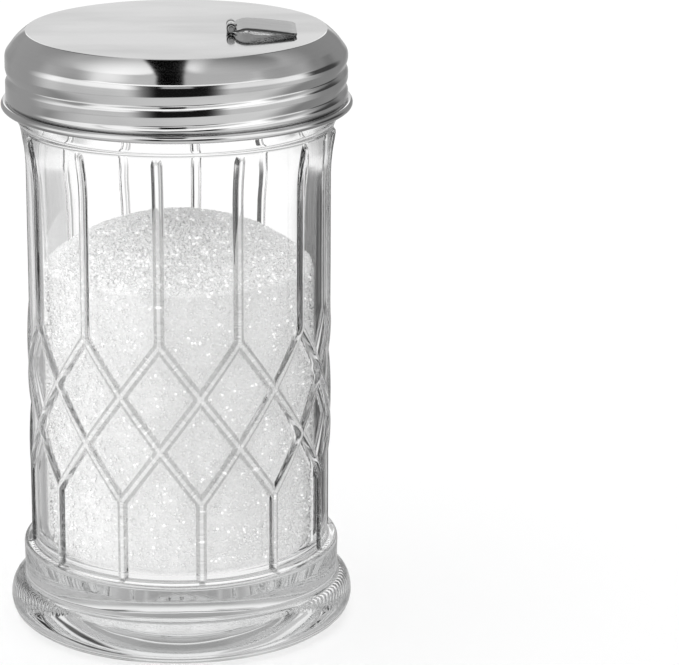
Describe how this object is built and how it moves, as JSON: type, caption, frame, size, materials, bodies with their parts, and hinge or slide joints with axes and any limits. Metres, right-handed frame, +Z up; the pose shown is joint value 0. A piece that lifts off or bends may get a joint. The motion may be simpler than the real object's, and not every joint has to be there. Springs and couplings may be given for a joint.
{
  "type": "glass sugar dispenser with a flap lid",
  "caption": "Ribbed glass jar of sugar with a screwed steel lid and a small hinged flap over its pour hole.",
  "frame": {"origin": "middle of the foot's underside", "axes": "+Z up the jar's axis, +X the way the closed flap points"},
  "size_m": [0.0754, 0.0754, 0.1333],
  "materials": {
    "clear_glass": "clear pressed glass, polished",
    "white_sugar": "white crystals",
    "clear_silicone": "clear silicone, satin",
    "bright_steel": "polished stainless steel",
    "pin_steel": "drawn stainless wire",
    "flap_steel": "fine brushed stainless steel"
  },
  "bodies": {
    "jar": {"glass_jar": "clear_glass", "sugar_fill": "white_sugar"},
    "seal": {"lid_seal": "clear_silicone"},
    "lid": {"lid_shell": "bright_steel", "hinge_pin": "pin_steel"},
    "flap": {"pour_flap": "flap_steel"}
  },
  "joints": [
    {"name": "lid_lift", "type": "slide", "parent": "jar", "child": "seal", "axis": [0, 0, 1], "range_m": [0, 0.0168]},
    {"name": "lid_turn", "type": "hinge", "parent": "seal", "child": "lid", "pos_m": [0, 0, 0.1311], "axis": [0, 0, 1], "range_deg": [0, 1440]},
    {"name": "flap_swing", "type": "hinge", "parent": "lid", "child": "flap", "pos_m": [0.0115, -0.00411, 0.13235], "axis": [0, -1, 0], "range_deg": [0, 90]}
  ],
  "couplings": [
    {"joint": "lid_lift", "follows": "lid_turn", "m_per_rad": 0.00066845}
  ]
}
